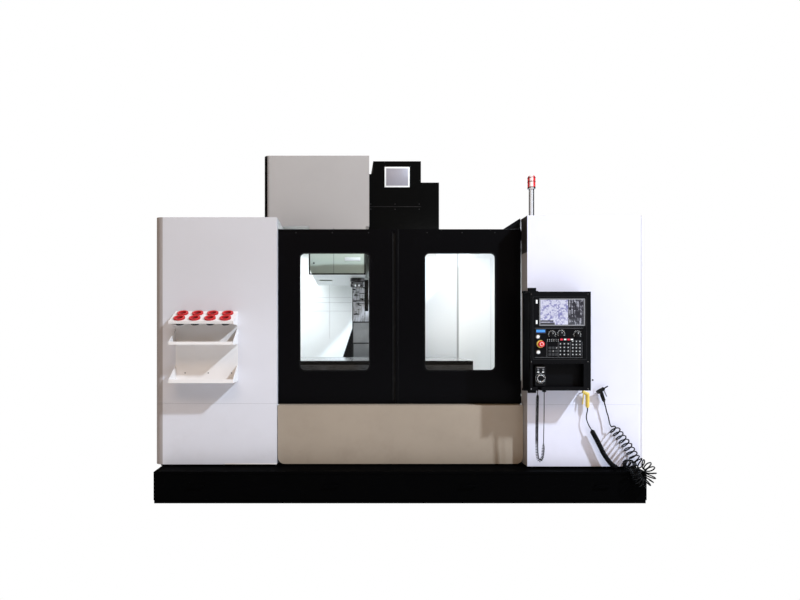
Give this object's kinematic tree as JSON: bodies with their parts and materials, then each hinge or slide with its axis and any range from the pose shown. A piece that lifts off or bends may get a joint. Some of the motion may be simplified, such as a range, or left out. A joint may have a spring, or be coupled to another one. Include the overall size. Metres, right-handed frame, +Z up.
{
  "type": "cnc machining center",
  "caption": "Vertical machining centre with sliding doors, travelling table and head, tool magazine, swivelling control box and hoses.",
  "frame": {"origin": "centre of the footprint on the floor", "axes": "+Z up, +X along the table to the operator's right, -Y towards the operator at the doors"},
  "size_m": [4.06, 3.22, 3.037],
  "materials": {
    "enclosure_white": "satin",
    "cabinet_white": "satin",
    "cover_grey": "satin",
    "casting_grey": "satin",
    "black_paint": "satin",
    "tank_black": "satin",
    "apron_beige": "satin",
    "steel": "satin",
    "bright_steel": "satin",
    "glass": "satin",
    "red_plastic": "satin",
    "red_lens": "satin",
    "black_plastic": "satin",
    "light_plastic": "satin",
    "yellow_plastic": "satin",
    "hose_black": "satin",
    "rack_white": "satin"
  },
  "bodies": {
    "machine": {"bed": "casting_grey", "levelling_feet": "steel", "column": "casting_grey", "coolant_tank": "tank_black", "plinth": "tank_black", "left_panels": "enclosure_white", "right_panels": "cabinet_white", "rear_panels": "enclosure_white", "front_apron": "apron_beige", "door_header": "casting_grey", "splash_guard": "enclosure_white", "magazine_cover": "cover_grey", "changer_frame": "casting_grey", "electrical_cabinet": "enclosure_white", "tool_rack": "rack_white", "tool_cups": "red_plastic", "light_mast": "black_paint", "light_lens": "red_lens", "pendant_bracket": "black_paint", "hose_hangers": "steel", "work_lamp": "light_plastic", "way_cover_ends": "steel", "air_gun": "black_plastic", "wash_gun": "yellow_plastic", "wash_hose": "hose_black", "wash_coil": "hose_black", "air_hose": "hose_black", "air_coil": "hose_black"},
    "saddle": {"saddle": "casting_grey", "saddle_covers": "steel"},
    "table": {"table": "steel"},
    "head": {"headstock": "cabinet_white", "head_cover": "black_paint", "z_cover_1": "steel"},
    "z_cover_2": {"z_cover_2": "steel"},
    "z_cover_3": {"z_cover_3": "steel"},
    "y_cover_2": {"y_cover_2": "steel"},
    "y_cover_3": {"y_cover_3": "steel"},
    "y_cover_rear": {"y_cover_rear": "steel"},
    "spindle": {"spindle": "bright_steel"},
    "tool_disc": {"tool_disc": "steel"},
    "arm_shaft": {"arm_shaft": "bright_steel"},
    "change_arm": {"change_arm": "steel"},
    "door_left": {"door_left": "black_paint", "glass_left": "glass"},
    "door_right": {"door_right": "black_paint", "glass_right": "glass"},
    "pendant": {"control_box": "black_paint", "handset": "black_plastic", "handset_cord": "hose_black"},
    "e_stop": {"e_stop": "red_plastic"},
    "start_button": {"start_button": "light_plastic"},
    "stop_button": {"stop_button": "light_plastic"},
    "dial_1": {"dial_1": "black_plastic"},
    "dial_2": {"dial_2": "black_plastic"},
    "dial_3": {"dial_3": "black_plastic"},
    "handwheel": {"handwheel": "light_plastic"},
    "air_trigger": {"air_trigger": "black_plastic"},
    "wash_lever": {"wash_lever": "yellow_plastic"},
    "electrical_door": {"electrical_door": "enclosure_white"}
  },
  "joints": [
    {"name": "door_left_slide", "type": "slide", "parent": "machine", "child": "door_left", "axis": [-1, 0, 0], "range_m": [0, 0.95]},
    {"name": "door_right_slide", "type": "slide", "parent": "machine", "child": "door_right", "axis": [1, 0, 0], "range_m": [0, 0.95]},
    {"name": "saddle_y", "type": "slide", "parent": "machine", "child": "saddle", "axis": [0, 1, 0], "range_m": [-0.4, 0.4]},
    {"name": "table_x", "type": "slide", "parent": "saddle", "child": "table", "axis": [1, 0, 0], "range_m": [-0.672, 0.828]},
    {"name": "head_z", "type": "slide", "parent": "machine", "child": "head", "axis": [0, 0, 1], "range_m": [-0.7, 0]},
    {"name": "z_cover_2_slide", "type": "slide", "parent": "machine", "child": "z_cover_2", "axis": [0, 0, 1], "range_m": [-0.467, 0]},
    {"name": "z_cover_3_slide", "type": "slide", "parent": "machine", "child": "z_cover_3", "axis": [0, 0, 1], "range_m": [-0.2334, 0]},
    {"name": "y_cover_2_slide", "type": "slide", "parent": "machine", "child": "y_cover_2", "axis": [0, 1, 0], "range_m": [-0.267, 0.267]},
    {"name": "y_cover_3_slide", "type": "slide", "parent": "machine", "child": "y_cover_3", "axis": [0, 1, 0], "range_m": [-0.134, 0.134]},
    {"name": "y_cover_rear_slide", "type": "slide", "parent": "machine", "child": "y_cover_rear", "axis": [0, 1, 0], "range_m": [-0.2, 0.2]},
    {"name": "spindle_turn", "type": "hinge", "parent": "head", "child": "spindle", "pos_m": [0, -0.29, 1.9], "axis": [0, 0, 1], "continuous": true},
    {"name": "disc_turn", "type": "hinge", "parent": "machine", "child": "tool_disc", "pos_m": [-0.62, -0.29, 2.48], "axis": [1, 0, 0], "continuous": true},
    {"name": "arm_plunge", "type": "slide", "parent": "machine", "child": "arm_shaft", "axis": [0, 0, 1], "range_m": [-0.115, 0]},
    {"name": "arm_swing", "type": "hinge", "parent": "arm_shaft", "child": "change_arm", "pos_m": [-0.3175, -0.29, 1.878], "axis": [0, 0, -1], "range_deg": [0, 270]},
    {"name": "pendant_swivel", "type": "hinge", "parent": "machine", "child": "pendant", "pos_m": [1.03, -1.415, 1.3], "axis": [0, 0, 1], "range_deg": [-90, 0]},
    {"name": "e_stop_press", "type": "slide", "parent": "pendant", "child": "e_stop", "axis": [0, 1, 0], "range_m": [0, 0.006], "stiffness_N_per_m": 400},
    {"name": "start_press", "type": "slide", "parent": "pendant", "child": "start_button", "axis": [0, 1, 0], "range_m": [0, 0.004], "stiffness_N_per_m": 300},
    {"name": "stop_press", "type": "slide", "parent": "pendant", "child": "stop_button", "axis": [0, 1, 0], "range_m": [0, 0.004], "stiffness_N_per_m": 300},
    {"name": "dial_1_turn", "type": "hinge", "parent": "pendant", "child": "dial_1", "pos_m": [1.189, -1.58, 1.359], "axis": [0, -1, 0], "range_deg": [-120, 120]},
    {"name": "dial_2_turn", "type": "hinge", "parent": "pendant", "child": "dial_2", "pos_m": [1.26, -1.58, 1.364], "axis": [0, -1, 0], "range_deg": [-120, 120]},
    {"name": "dial_3_turn", "type": "hinge", "parent": "pendant", "child": "dial_3", "pos_m": [1.387, -1.58, 1.359], "axis": [0, -1, 0], "range_deg": [-120, 120]},
    {"name": "handwheel_turn", "type": "hinge", "parent": "pendant", "child": "handwheel", "pos_m": [1.105, -1.56, 1.01], "axis": [0, -1, 0], "continuous": true},
    {"name": "air_trigger_pull", "type": "hinge", "parent": "machine", "child": "air_trigger", "pos_m": [1.669, -1.422, 0.8982], "axis": [0, 1, 0], "range_deg": [0, 12], "stiffness_Nm_per_rad": 0.4},
    {"name": "wash_lever_pull", "type": "hinge", "parent": "machine", "child": "wash_lever", "pos_m": [1.50295, -1.422, 0.8679], "axis": [0, 1, 0], "range_deg": [-12, 0], "stiffness_Nm_per_rad": 0.4},
    {"name": "electrical_door_hinge", "type": "hinge", "parent": "machine", "child": "electrical_door", "pos_m": [1.05, 1.61, 1.27], "axis": [0, 0, 1], "range_deg": [-120, 0]}
  ],
  "couplings": [
    {"joint": "z_cover_2_slide", "follows": "head_z", "ratio": 0.6667},
    {"joint": "z_cover_3_slide", "follows": "head_z", "ratio": 0.3333},
    {"joint": "y_cover_2_slide", "follows": "saddle_y", "ratio": 0.6667},
    {"joint": "y_cover_3_slide", "follows": "saddle_y", "ratio": 0.3333},
    {"joint": "y_cover_rear_slide", "follows": "saddle_y", "ratio": 0.5}
  ]
}
